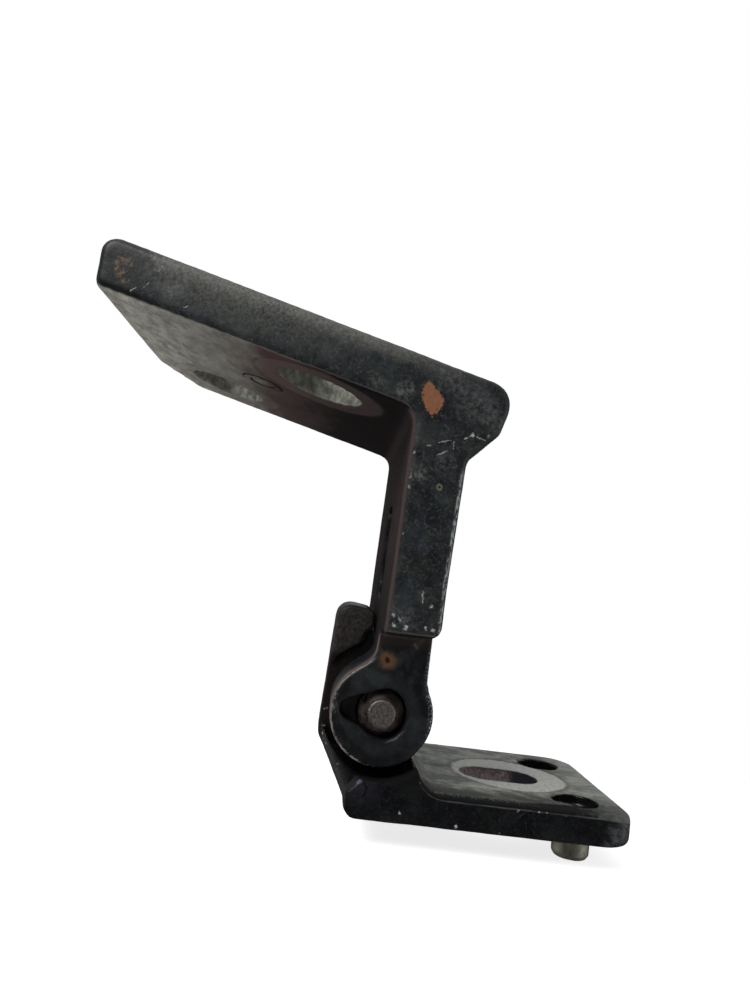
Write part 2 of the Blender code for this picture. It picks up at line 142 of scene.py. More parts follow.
def skin(node, name, voxel, smoothing):
    """A fine, softly rounded copy of a CAD solid, as a new object."""
    work = bmesh.new()
    work.from_mesh(frame["nodes"][node].data)
    bmesh.ops.remove_doubles(work, verts=work.verts, dist=WELD_DISTANCE * MM)
    mesh = bpy.data.meshes.new(name)
    work.to_mesh(mesh)
    work.free()
    piece = bpy.data.objects.new(name, mesh)
    bpy.context.scene.collection.objects.link(piece)
    remesh = piece.modifiers.new("grow", "REMESH")
    remesh.mode = "VOXEL"
    remesh.voxel_size = voxel * MM
    smooth = piece.modifiers.new("soften", "SMOOTH")
    smooth.factor = 0.5
    smooth.iterations = smoothing
    bpy.context.view_layer.update()
    depsgraph = bpy.context.evaluated_depsgraph_get()
    fine = bpy.data.meshes.new_from_object(piece.evaluated_get(depsgraph))
    piece.modifiers.clear()
    piece.data = fine
    fine.materials.clear()
    fine.shade_smooth()
    return piece


class Surface:
    """A mesh's points as arrays in millimetres, with helpers that press shapes into it."""

    def __init__(self, piece):
        self.mesh = piece.data
        count = len(self.mesh.vertices)
        self.places = np.empty(count * 3)
        self.mesh.vertices.foreach_get("co", self.places)
        self.places = self.places.reshape(-1, 3) / MM
        self.normals = np.empty(count * 3)
        self.mesh.vertices.foreach_get("normal", self.normals)
        self.normals = self.normals.reshape(-1, 3)
        self.ends = np.empty(len(self.mesh.edges) * 2, dtype=np.int64)
        self.mesh.edges.foreach_get("vertices", self.ends)
        self.ends = self.ends.reshape(-1, 2)
        self.degree = np.maximum(np.bincount(self.ends.ravel(), minlength=count), 1)
        self.shift = np.zeros(count)

    def neighbour_mean(self, values):
        """Each point's mean of its neighbours' values."""
        total = np.zeros_like(values)
        np.add.at(total, self.ends[:, 0], values[self.ends[:, 1]])
        np.add.at(total, self.ends[:, 1], values[self.ends[:, 0]])
        shape = (-1,) + (1,) * (values.ndim - 1)
        return total / self.degree.reshape(shape)

    def convexity(self, rounds=3):
        """How sharply the surface turns outwards (+) or inwards (-), per millimetre."""
        towards = self.neighbour_mean(self.places) - self.places
        spans = self.places[self.ends[:, 0]] - self.places[self.ends[:, 1]]
        step = np.mean(np.sum(spans**2, axis=1))
        bend = -2.0 * np.sum(towards * self.normals, axis=1) / step
        for _ in range(rounds):
            bend = self.neighbour_mean(bend)
        return bend

    def store(self, name, values):
        """Keep a value per point for the materials to read."""
        layer = self.mesh.attributes.new(name, "FLOAT", "POINT")
        layer.data.foreach_set("value", values.astype(np.float32))

    def noise(self, wavelength, seed):
        """Smooth noise, about -1 to 1, one lump a wavelength."""
        scale = 1.0 / wavelength
        offset = Vector([seed * step for step in PRESS_STEP])
        return np.array([noise.noise(Vector(place) * scale + offset) for place in self.places])

    def press(self, amount, where=1.0):
        """Move the surface outwards by an amount in millimetres where a mask says so."""
        self.shift += amount * where

    def on_face(self, origin, normal, reach=0.45):
        """Where the points lie on a flat face."""
        height = (self.places - np.array(origin)) @ np.array(normal)
        return ramp(np.abs(height), reach, 0.1)

    def seat(self, origin, axis, radius, soft, depth, where):
        """Press a round, shallow seat into a face."""
        reach = distance_to_line(self.places, origin, axis)
        self.press(-depth, ramp(reach, radius + soft, radius - soft) * where)

    def finish(self):
        """Write the pressed shape back to the mesh."""
        moved = (self.places + self.normals * self.shift[:, None]) * MM
        self.mesh.vertices.foreach_set("co", moved.ravel())
        self.mesh.update()


def ramp(values, low, high):
    """Smooth step from 0 at low to 1 at high; it falls where low is above high."""
    share = np.clip((values - low) / (high - low), 0.0, 1.0)
    return share * share * (3.0 - 2.0 * share)


def distance_to_line(places, origin, axis):
    """Distance of each place from a line."""
    offset = places - np.array(origin)
    along = offset @ np.array(axis)
    return np.linalg.norm(offset - np.outer(along, np.array(axis)), axis=1)


def roughen(surface, wave, pits, chips, seed):
    """Forged surface: long waves, small pits, and chips along outer edges."""
    edge = surface.convexity()
    lumps = ((7.0, wave), (2.6, 0.5 * wave), (0.95, pits))
    for number, (wavelength, height) in enumerate(lumps):
        surface.press(height * surface.noise(wavelength, seed + number))
    worn = ramp(surface.noise(1.7, seed + 3), 0.22, 0.5) * ramp(edge, 0.25, 0.7)
    surface.press(-chips * worn)
    surface.store("edge", edge)


def make_door_skin():
    """Door bracket: washer seats, a plain raised ring on the underside, and the dished lug face."""
    piece = skin("door_bracket", "door_bracket_forging", DOOR_VOXEL, smoothing=3)
    surface = Surface(piece)
    roughen(surface, wave=0.05, pits=0.018, chips=0.12, seed=3)
    under = surface.on_face(PLATE_CORNER, PLATE_DOWN, 0.5)
    for (along, across), radius in zip(DOOR_HOLES, WASHER_RADII):
        surface.seat(
            on_plate(along, across), PLATE_DOWN, radius, soft=0.35, depth=0.10, where=under
        )
    mark = distance_to_line(surface.places, on_plate(*MARK_PLACE), PLATE_DOWN)
    surface.press(MARK_HEIGHT, ramp(np.abs(mark - MARK_RADIUS), 0.75, 0.25) * under)
    lug = surface.on_face(LUG_FACE, PIN_AXIS)
    surface.seat(PIN_CENTRE, PIN_AXIS, DISH_RADIUS, soft=0.25, depth=0.14, where=lug)
    surface.finish()
    return piece


def make_body_skin():
    """Body bracket: the bolt's washer seat and a slightly uneven outline."""
    piece = skin("body_bracket", "body_bracket_forging", BODY_VOXEL, smoothing=3)
    surface = Surface(piece)
    roughen(surface, wave=0.05, pits=0.016, chips=0.12, seed=11)
    top = surface.on_face((0.0, 0.0, BASE_TOP_Z), UP)
    surface.seat(WASHER_CENTRE, UP, SLOT_WASHER_RADIUS, soft=0.3, depth=0.08, where=top)
    surface.finish()
    return piece


def make_small_skin(node, name, voxel, wave, pits, seed):
    """A pin, bush or dowel with lightly worn metal."""
    piece = skin(node, name, voxel, smoothing=2)
    surface = Surface(piece)
    roughen(surface, wave, pits, chips=0.02, seed=seed)
    surface.finish()
    return piece


# ---------------------------------------------------------------- materials


def feed(tree, socket, value):
    """Link a socket or set a plain value."""
    if isinstance(value, bpy.types.NodeSocket):
        tree.links.new(value, socket)
    else:
        socket.default_value = value


def add_node(tree, kind, inputs=None, **settings):
    """A new shader node; inputs maps its sockets to plain values or to what feeds them."""
    node = tree.nodes.new("ShaderNode" + kind)
    for name, value in settings.items():
        setattr(node, name, value)
    for key, value in (inputs or {}).items():
        feed(tree, node.inputs[key], value)
    return node


class Finish:
    """A layered procedural material: each layer covers those before it where its mask says."""

    def __init__(self, name, colour, roughness, metallic=0.0, specular=0.5):
        self.material = bpy.data.materials.new(name)
        self.material.use_nodes = True
        self.tree = self.material.node_tree
        self.shader = self.tree.nodes["Principled BSDF"]
        self.shader.inputs["Specular IOR Level"].default_value = specular
        coordinates = self.node("TexCoord")
        self.place = self.vector("SCALE", coordinates.outputs["Object"], scale=1.0 / MM)
        self.normal = coordinates.outputs["Normal"]
        self.x, self.y, self.z = self.node("SeparateXYZ", {0: self.place}).outputs
        self.colour = colour
        self.roughness = roughness
        self.metallic = metallic
        self.relief = 0.0

    def node(self, kind, inputs=None, **settings):
        """A new node in this material."""
        return add_node(self.tree, kind, inputs, **settings)

    def math(self, operation, first, second=0.0, clamp=False):
        """A Math node's result."""
        return self.node(
            "Math", {0: first, 1: second}, operation=operation, use_clamp=clamp
        ).outputs[0]

    def vector(self, operation, first, second=None, scale=None):
        """A Vector Math node's result."""
        inputs = {0: first}
        if second is not None:
            inputs[1] = second
        if scale is not None:
            inputs["Scale"] = scale
        outputs = self.node("VectorMath", inputs, operation=operation).outputs
        return outputs["Value"] if operation in ("DOT_PRODUCT", "DISTANCE") else outputs[0]

    def ramp(self, value, low, high, bottom=0.0, top=1.0):
        """Smooth step between two values; it falls where low is above high."""
        inputs = dict(enumerate((value, low, high, bottom, top)))
        return self.node("MapRange", inputs, interpolation_type="SMOOTHSTEP").outputs[0]

    def shifted(self, value, wobble, reach):
        """A value pushed to and fro by a noise, which makes a mask's outline ragged."""
        return self.math("ADD", value, self.math("MULTIPLY", wobble, reach))

    def off(self, value, target):
        """How far a value is from a target."""
        return self.math("ABSOLUTE", self.math("SUBTRACT", value, target))

    def noise(
        self, wavelength, detail=2.0, roughness=0.5, stretch=(1.0, 1.0, 1.0), turn=0.0, seed=0.0
    ):
        """Noise with lumps of a given size, stretched along X, Y and Z after a turn about Y."""
        mapping = self.node("Mapping", vector_type="TEXTURE", inputs={
            "Vector": self.place,
            "Location": [seed * step for step in NOISE_STEP],
            "Rotation": (0.0, math.radians(turn), 0.0),
            "Scale": [wavelength * share for share in stretch],
        })
        inputs = {
            "Vector": mapping.outputs[0], "Scale": 1.0, "Detail": detail, "Roughness": roughness
        }
        return self.node("TexNoise", inputs).outputs[0]

    def ragged(self, wavelength, detail, roughness, seed, stretch=(1.0, 1.0, 1.0)):
        """Noise from about -0.5 to 0.5, to push outlines about with."""
        even = self.noise(wavelength, detail, roughness, stretch, seed=seed)
        return self.math("SUBTRACT", even, 0.5)

    def dots(self, spacing, radius, share, seed=0.0):
        """Small round specks scattered over the surface: share is how many cells have one."""
        offset = self.vector("ADD", self.place, [seed * step for step in DOTS_STEP])
        cells = self.node("TexVoronoi", {"Vector": offset, "Scale": 1.0 / spacing}).outputs
        size = radius / spacing
        near = self.ramp(cells["Distance"], size, size * 0.5)
        picked = self.ramp(cells["Color"], 1.0 - share, 1.0 - share + 0.03)
        return self.math("MULTIPLY", near, picked)

    def attribute(self, name):
        """A value that the piece keeps for each point."""
        return self.node("Attribute", attribute_name=name).outputs["Fac"]

    def both(self, *masks):
        """Where all masks hold."""
        result = masks[0]
        for mask in masks[1:]:
            result = self.math("MULTIPLY", result, mask)
        return result

    def either(self, *masks):
        """Where any mask holds."""
        result = masks[0]
        for mask in masks[1:]:
            result = self.math("MAXIMUM", result, mask)
        return result

    def near_plane(self, origin, normal, reach=0.45):
        """The skin of a flat face."""
        height = self.vector(
            "DOT_PRODUCT", self.vector("SUBTRACT", self.place, tuple(origin)), tuple(normal)
        )
        return self.ramp(self.math("ABSOLUTE", height), reach, reach * 0.4)

    def facing(self, direction, low, high):
        """How far the surface looks towards a direction, from 0 at low to 1 at high."""
        turned = self.vector("DOT_PRODUCT", self.normal, tuple(Vector(direction).normalized()))
        return self.ramp(turned, low, high)

    def off_axis(self, origin, axis):
        """Distance from a line."""
        offset = self.vector("SUBTRACT", self.place, tuple(origin))
        along = self.vector("DOT_PRODUCT", offset, tuple(axis))
        foot = self.vector("SCALE", tuple(axis), scale=along)
        return self.vector("DISTANCE", offset, foot)

    def spot(self, centre, radius, ragged, wobble, soft=0.35):
        """A patch round a point, with an edge made ragged by a noise."""
        distance = self.shifted(self.vector("DISTANCE", self.place, tuple(centre)), wobble, ragged)
        return self.ramp(distance, radius, radius * (1.0 - soft))

    def stroke(self, start, end, width, ragged, wobble):
        """A scratch or streak between two points."""
        start, end = Vector(start), Vector(end)
        run = end - start
        offset = self.vector("SUBTRACT", self.place, tuple(start))
        share = self.vector("DOT_PRODUCT", offset, tuple(run / run.length_squared))
        foot = self.vector("SCALE", tuple(run), scale=self.math("ADD", share, 0.0, clamp=True))
        distance = self.shifted(self.vector("DISTANCE", offset, foot), wobble, ragged)
        return self.ramp(distance, width * 0.5, width * 0.2)

    def flake(self, corners, face_y, ragged, wobble):
        """A convex, ragged patch on a face across Y, from its (x, z) corners, clockwise."""
        outside = None
        for (x, z), (next_x, next_z) in zip(corners, corners[1:] + corners[:1]):
            outward = Vector((z - next_z, 0.0, next_x - x)).normalized()
            offset = self.vector("SUBTRACT", self.place, (x, face_y, z))
            beyond = self.vector("DOT_PRODUCT", offset, tuple(outward))
            outside = beyond if outside is None else self.math("MAXIMUM", outside, beyond)
        outside = self.shifted(outside, wobble, ragged)
        return self.both(
            self.ramp(outside, -0.1, -0.3), self.near_plane((0.0, face_y, 0.0), PIN_AXIS)
        )

    def mix(self, mask, below, above, kind="RGBA"):
        """Blend two values or colours by a mask."""
        first, second, result = {"FLOAT": (2, 3, 0), "RGBA": (6, 7, 2)}[kind]
        inputs = {0: mask, first: below, second: above}
        return self.node("Mix", inputs, data_type=kind).outputs[result]

    def blend(self, value, low, high, below, above):
        """Go from one colour at low to another at high."""
        return self.mix(self.ramp(value, low, high), below, above)

    def layer(self, mask, colour=None, roughness=None, metallic=None, relief=None, amount=None):
        """Lay a coat where the mask holds, thinned to an amount; relief is in millimetres."""
        if amount is not None:
            mask = self.math("MULTIPLY", mask, amount)
        if colour is not None:
            self.colour = self.mix(mask, self.colour, colour)
        if roughness is not None:
            self.roughness = self.mix(mask, self.roughness, roughness, "FLOAT")
        if metallic is not None:
            self.metallic = self.mix(mask, self.metallic, metallic, "FLOAT")
        if relief is not None:
            self.relief = self.shifted(self.relief, mask, relief)

    def close(self):
        """Connect the layers to the shader."""
        bump = self.node("Bump", {"Strength": 1.0, "Distance": MM, "Height": self.relief})
        wanted = {
            "Base Color": self.colour,
            "Roughness": self.roughness,
            "Metallic": self.metallic,
            "Normal": bump.outputs[0],
        }
        for name, value in wanted.items():
            feed(self.tree, self.shader.inputs[name], value)
        return self.material


# Pale chip white, also the colour of the painted highlight specks on the door arm's edge.
WHITE_CHIP_AND_HIGHLIGHT = srgb(150, 152, 152)
BARE_STEEL = srgb(128, 128, 126)
RUST = srgb(92, 57, 30)


def weather(finish, clouds, dust, dust_colour):
    """What all painted faces share: clouds of tint, grain, fine scratches and specks."""
    # Wavelength, low, high, seed, colour, amount
    tints = (
        (4.5, 0.42, 0.74, 1, srgb(46, 52, 48), clouds),
        (3.2, 0.46, 0.76, 2, srgb(40, 46, 56), clouds),
        (2.4, 0.50, 0.72, 14, srgb(14, 15, 18), 0.7),
    )
    for wavelength, low, high, seed, colour, amount in tints:
        tint = finish.ramp(finish.noise(wavelength, 4.0, 0.65, seed=seed), low, high)
        finish.layer(tint, colour, amount=amount)
    grain = finish.noise(0.42, 3.0, 0.65, seed=3)
    lit_grain = finish.math("MULTIPLY", finish.ramp(grain, 0.5, 0.78), clouds)
    finish.layer(lit_grain, srgb(76, 77, 74), 0.5, amount=0.8)
    finish.layer(grain, relief=0.026)
    finish.layer(finish.noise(1.5, 3.0, 0.6, seed=15), relief=0.05)
    film = finish.ramp(finish.noise(6.0, 3.0, 0.65, seed=4), 0.4, 0.75)
    finish.layer(film, dust_colour, 0.6, amount=dust)
    finish.roughness = finish.shifted(finish.roughness, finish.ragged(1.8, 3.0, 0.6, seed=5), 0.35)
    scuffed = finish.ramp(finish.noise(5.0, 2.0, 0.6, seed=6), 0.5, 0.66)
    for number, turn in enumerate((25.0, -40.0, 78.0)):
        lines = finish.noise(0.22, 1.0, 0.5, (26.0, 26.0, 1.0), turn, seed=7 + number)
        mask = finish.both(finish.ramp(lines, 0.70, 0.78), scuffed)
        finish.layer(mask, srgb(96, 100, 100), 0.5, amount=0.35)
    sprinkled = finish.ramp(finish.noise(7.0, 1.0, seed=11), 0.5, 0.62)
    for spacing, radius, share, seed in ((1.5, 0.15, 0.22, 1), (0.8, 0.07, 0.16, 2)):
        specks = finish.both(finish.dots(spacing, radius, share, seed), sprinkled)
        finish.layer(specks, WHITE_CHIP_AND_HIGHLIGHT, 0.6, amount=0.75)


def wear_edges(finish, colour, limit, amount=0.85, where=1.0):
    """Paint rubbed or chipped off the outer edges, in broken stretches."""
    edge = finish.attribute("edge")
    worn = finish.shifted(edge, finish.ragged(0.55, 5.0, 0.75, seed=12), 1.3)
    patchy = finish.ramp(finish.noise(5.0, 2.0, 0.5, seed=13), 0.40, 0.56)
    mask = finish.both(finish.ramp(worn, limit, limit + 0.12), patchy, where)
    finish.layer(mask, colour, 0.42, 0.3, relief=-0.03, amount=amount)


# Scratches on the door bracket's front face: start, end (x, z), width, strength
FRONT_STROKES = (
    ((-45.4, 84.7), (-44.8, 85.7), 0.16, 0.8),
    ((-47.3, 81.6), (-46.6, 82.6), 0.16, 0.7),
    ((-49.4, 80.7), (-48.5, 81.5), 0.22, 0.9),
    ((-40.5, 79.2), (-39.9, 79.7), 0.20, 0.8),
    ((8.8, 64.8), (10.4, 64.4), 0.20, 0.6),
    ((7.0, 64.2), (8.3, 65.0), 0.24, 0.8),
    ((1.2, 62.3), (1.9, 62.5), 0.24, 0.7),
    ((2.9, 63.1), (5.2, 63.8), 0.20, 0.6),
    ((5.3, 63.5), (5.4, 62.4), 0.30, 0.6),
    ((3.0, 61.0), (4.5, 62.0), 0.36, 0.8),
    ((12.1, 65.6), (12.8, 68.4), 0.18, 0.7),
    ((3.3, 39.0), (3.4, 37.4), 0.45, 0.8),
    ((-1.2, 58.8), (-1.0, 56.8), 0.80, 0.7),
    ((7.3, 50.0), (7.6, 57.5), 0.30, 0.5),
    ((6.9, 33.5), (7.2, 44.0), 0.26, 0.5),
)
# Flaked spots on the same face: x, z, radius, strength
FRONT_SPOTS = (
    (8.3, 65.0, 0.36, 1.0),
    (11.0, 65.1, 0.22, 0.8),
    (-0.8, 61.0, 0.40, 0.8),
    (4.9, 36.8, 0.30, 0.8),
    (-0.6, 33.2, 0.42, 0.8),
    (1.3, 33.1, 0.60, 1.0),
    (4.3, 33.4, 0.34, 0.9),
    (5.5, 33.3, 0.50, 0.8),
    (6.6, 34.6, 0.30, 0.8),
    (-1.0, 34.8, 0.44, 0.7),
    (0.2, 34.3, 0.36, 0.6),
    (6.9, 37.3, 0.26, 0.8),
    (7.0, 40.9, 0.24, 0.8),
    (7.3, 57.3, 0.24, 0.8),
    (-1.0, 47.8, 0.30, 0.7),
    (-0.9, 55.3, 0.45, 0.5),
)
# Outline of the bare primer patch on the same face: clockwise (x, z)
PRIMER_PATCH = (
    (-0.9, 72.2), (0.3, 73.0), (1.4, 72.2), (3.4, 70.2),
    (2.8, 68.4), (1.4, 66.9), (0.2, 68.0), (-0.8, 69.8),
)
# Pale smudges on the same face: x, z, radius, strength
FRONT_SMUDGES = (
    (-3.4, 70.8, 1.9, 0.40),
    (-42.6, 82.0, 1.6, 0.45),
    (0.6, 34.4, 2.4, 0.24),
    (0.4, 57.5, 1.6, 0.35),
    (4.2, 60.0, 2.4, 0.18),
    (3.2, 38.4, 1.4, 0.12),
    (-8.0, 71.5, 1.5, 0.25),
    (7.4, 70.6, 4.2, 0.18),
    (3.2, 74.2, 3.4, 0.22),
    (10.6, 68.6, 3.0, 0.18),
)


def stain_plate(finish, wobble):
    """The plate: grit and a painted highlight along the top edge of its front; stained bare metal
    below, with painted shade near the arm; worn holes, their walls with painted shade on the tip
    side.
    """
    from_corner = finish.vector("SUBTRACT", finish.place, tuple(PLATE_CORNER))
    height = finish.math(
        "MULTIPLY", finish.vector("DOT_PRODUCT", from_corner, tuple(PLATE_DOWN)), -1.0
    )
    front = finish.both(finish.facing(TO_FRONT, 0.35, 0.8), finish.ramp(height, -1.5, 0.5))
    grit = finish.ramp(finish.noise(0.5, 4.0, 0.75, seed=21), 0.30, 0.72)
    ragged_x = finish.shifted(finish.x, wobble, 10.0)
    length = finish.both(
        finish.ramp(ragged_x, -5.0, -30.0), finish.ramp(ragged_x, -55.0, -44.0, 0.25, 1.0)
    )
    ragged_height = finish.shifted(height, wobble, 3.0)
    finish.layer(
        finish.both(front, length, finish.ramp(ragged_height, 0.5, 5.5), grit), srgb(74, 75, 70),
        0.5
    )
    # Painted highlight: the top band of the plate's front is paler, where light from above falls on
    # its rounded top edge.
    top_edge_highlight = finish.both(
        front, finish.ramp(ragged_x, 12.0, -12.0),
        finish.ramp(ragged_height, PLATE_THICKNESS - 3.8, PLATE_THICKNESS - 0.2)
    )
    speckled = finish.shifted(0.3, grit, 0.5)
    finish.layer(finish.both(top_edge_highlight, speckled), srgb(122, 121, 116), 0.45)
    tip = finish.both(front, finish.ramp(ragged_x, -44.0, -49.0))
    finish.layer(tip, srgb(12, 15, 16), 0.4, amount=0.75)

    under = finish.facing(PLATE_DOWN, 0.55, 0.85)
    patchy = finish.ragged(5.0, 5.0, 0.7, seed=52, stretch=(1.0, 2.0, 1.0))
    tone = finish.shifted(finish.x, patchy, 16.0)
    cloudy = finish.ramp(finish.noise(1.9, 6.0, 0.78, (1.0, 2.4, 1.0), 13.4, seed=22), 0.30, 0.70)
    finish.layer(under, finish.mix(cloudy, srgb(92, 92, 85), srgb(146, 143, 134)), 0.5)
    dulled = finish.both(under, finish.ramp(tone, -52.0, -36.0))
    finish.layer(dulled, srgb(84, 83, 77), 0.5, amount=0.6)
    flecks = finish.ramp(finish.noise(0.8, 4.0, 0.75, (1.2, 2.4, 1.2), 13.4, seed=24), 0.65, 0.71)
    finish.layer(finish.both(under, flecks), srgb(52, 50, 46), 0.6)
    finish.layer(finish.both(under, finish.ramp(tone, -38.0, -26.0)), srgb(60, 41, 40), 0.5)
    # Painted shade: the underside turns nearly black towards the arm, in the inside corner.
    finish.layer(finish.both(under, finish.ramp(tone, -26.0, -12.0)), srgb(14, 6, 7), 0.75)
    for (along, across), radius in zip(DOOR_HOLES, WASHER_RADII):
        hole = on_plate(along, across)
        off_hole = finish.off_axis(hole, PLATE_DOWN)
        reach = finish.shifted(off_hole, wobble, 0.8)
        ring = finish.both(under, finish.ramp(reach, radius, radius - 0.9))
        finish.layer(ring, srgb(96, 80, 76), 0.42, 0.2, amount=0.32)
        lip = finish.both(
            under, finish.ramp(reach, radius + 0.7, radius),
            finish.ramp(reach, radius - 0.5, radius)
        )
        broken_lip = finish.both(lip, finish.ramp(finish.noise(3.0, 3.0, 0.6, seed=45), 0.4, 0.6))
        finish.layer(broken_lip, srgb(40, 26, 26), 0.6, amount=0.45)
        near_hole = finish.ramp(off_hole, DOOR_HOLE_RADIUS + 0.8, DOOR_HOLE_RADIUS + 0.4)
        wall = finish.both(near_hole, finish.facing(PLATE_DOWN, 0.8, 0.4))
        drawn = finish.noise(1.3, 3.0, 0.6, (1.0, 1.0, 1.6), -13.4, seed=23)
        metal = finish.blend(drawn, 0.32, 0.72, srgb(96, 97, 88), srgb(164, 164, 155))
        shade = finish.ramp(finish.x, hole.x + 3.5, hole.x - 3.0)
        finish.layer(wall, metal, 0.42, 0.35)
        finish.layer(finish.both(wall, shade), srgb(52, 54, 46), 0.5, 0.1, amount=0.6)
    mark = finish.off_axis(on_plate(*MARK_PLACE), PLATE_DOWN)
    outlines = [
        finish.ramp(finish.off(mark, radius), 0.35, 0.1)
        for radius in (MARK_RADIUS - MARK_HALF_WIDTH, MARK_RADIUS + MARK_HALF_WIDTH)
    ]
    finish.layer(finish.both(under, finish.either(*outlines)), srgb(14, 9, 9), 0.7)


def stain_arm(finish, wobble):
    """The arm's brown inner face with a painted highlight along its front edge, and the rubbed edge
    that runs down round the eye.
    """
    inner = finish.both(
        finish.facing(LEFT, 0.5, 0.85), finish.ramp(finish.x, 1.0, -0.5),
        finish.ramp(finish.z, PIN_Z + 7.0, PIN_Z + 12.0), finish.ramp(finish.x, -9.0, -6.0)
    )
    brushed = finish.noise(1.3, 5.0, 0.72, (1.0, 1.0, 1.4), seed=25)
    finish.layer(inner, finish.blend(brushed, 0.3, 0.75, srgb(27, 15, 14), srgb(52, 36, 34)), 0.85)
    finish.layer(finish.both(inner, finish.ramp(finish.z, 50.0, 32.0)), srgb(13, 7, 7), 0.85)
    # Painted highlight: a lighter strip down the front edge of the arm's inner face.
    front_edge_highlight = finish.ramp(
        finish.math("ADD", finish.y, wobble), DOOR_FRONT_Y + 3.6, DOOR_FRONT_Y + 0.8
    )
    finish.layer(finish.both(inner, front_edge_highlight), srgb(68, 54, 52), 0.45, amount=0.75)

    around = finish.off_axis(PIN_CENTRE, PIN_AXIS)
    left = finish.both(
        finish.ramp(finish.math("ADD", finish.x, wobble), 0.5, -1.5),
        finish.ramp(around, EYE_RADIUS - 0.8, EYE_RADIUS - 0.3),
        finish.ramp(finish.z, PIN_Z + 14.0, PIN_Z + 12.0),
        finish.ramp(finish.y, LUG_FRONT_Y + 4.5, LUG_FRONT_Y + 1.0)
    )
    finish.layer(left, srgb(118, 101, 98), 0.42, 0.15, amount=0.75)


def stain_lug(finish, wobble):
    """The lug's face: a shallow dished ring, a rusty punch mark, chips along its right edge, and
    painted shade in the recess round the pin.
    """
    lug = finish.both(
        finish.near_plane(LUG_FACE, PIN_AXIS, 1.2),
        finish.ramp(finish.z, PIN_Z + 15.0, PIN_Z + 13.0), finish.facing(TO_FRONT, 0.3, 0.6)
    )
    cloud = finish.noise(3.0, 4.0, 0.65, seed=26)
    finish.layer(lug, finish.blend(cloud, 0.4, 0.7, srgb(13, 14, 17), srgb(34, 38, 40)), 0.38)
    low = finish.both(lug, finish.ramp(finish.z, 16.0, 9.0))
    finish.layer(low, srgb(8, 9, 11), 0.36, amount=0.7)
    off_pin = finish.off_axis(PIN_CENTRE, PIN_AXIS)
    around = finish.shifted(off_pin, wobble, 1.2)
    dished = finish.both(lug, finish.ramp(around, 7.2, 6.0), finish.ramp(around, 4.2, 5.4))
    finish.layer(dished, srgb(40, 47, 50), 0.4, amount=0.22)
    # Painted shade: the recess round the pin, behind the lug's face, is darkened.
    pocket_shade = finish.both(
        finish.ramp(around, 8.2, 7.4), finish.ramp(finish.y, LUG_FRONT_Y + 0.5, LUG_FRONT_Y + 1.3)
    )
    finish.layer(pocket_shade, srgb(22, 20, 21), 0.5)
    foot = finish.both(lug, finish.ramp(finish.z, PIN_Z + 10.5, PIN_Z + 12.5))
    finish.layer(foot, srgb(38, 26, 20), 0.55, amount=0.6)
    punch = (-0.1, LUG_FRONT_Y, 26.7)
    halo = finish.spot(punch, 2.0, 1.2, wobble, 0.75)
    finish.layer(
        finish.both(halo, finish.ramp(finish.noise(0.6, 4.0, 0.7, seed=27), 0.2, 0.5)), RUST, 0.75
    )
    finish.layer(finish.spot(punch, 1.1, 1.2, wobble, 0.9), srgb(40, 24, 14), 0.8, amount=0.55)
    finish.layer(finish.spot(punch, 0.55, 0.9, wobble, 0.6), srgb(16, 9, 6), 0.8, relief=-0.3)
    finish.layer(finish.spot((4.4, LUG_FRONT_Y, 29.7), 0.5, 2.0, wobble), RUST, 0.75, amount=0.5)
    right_edge = finish.both(
        finish.ramp(finish.x, 5.0, 6.0), finish.ramp(finish.z, 30.0, 28.5),
        finish.ramp(finish.z, 14.0, 17.0), finish.ramp(finish.attribute("edge"), 0.2, 0.5),
        finish.ramp(finish.noise(0.34, 3.0, 0.7, seed=28), 0.54, 0.62),
        finish.ramp(finish.y, LUG_FRONT_Y + 1.3, LUG_FRONT_Y + 0.7)
    )
    finish.layer(right_edge, srgb(168, 170, 172), 0.5)
    rim = finish.both(
        finish.ramp(finish.x, -2.0, -3.5), finish.ramp(off_pin, EYE_RADIUS - 1.2, EYE_RADIUS - 0.8),
        finish.near_plane(LUG_FACE, PIN_AXIS, 1.2),
        finish.facing(TO_FRONT, 0.45, 0.6), finish.facing(TO_FRONT, 0.92, 0.8),
        finish.ramp(finish.noise(0.9, 4.0, 0.7, seed=46), 0.30, 0.6)
    )
    finish.layer(rim, srgb(140, 130, 128), 0.45, amount=0.7)


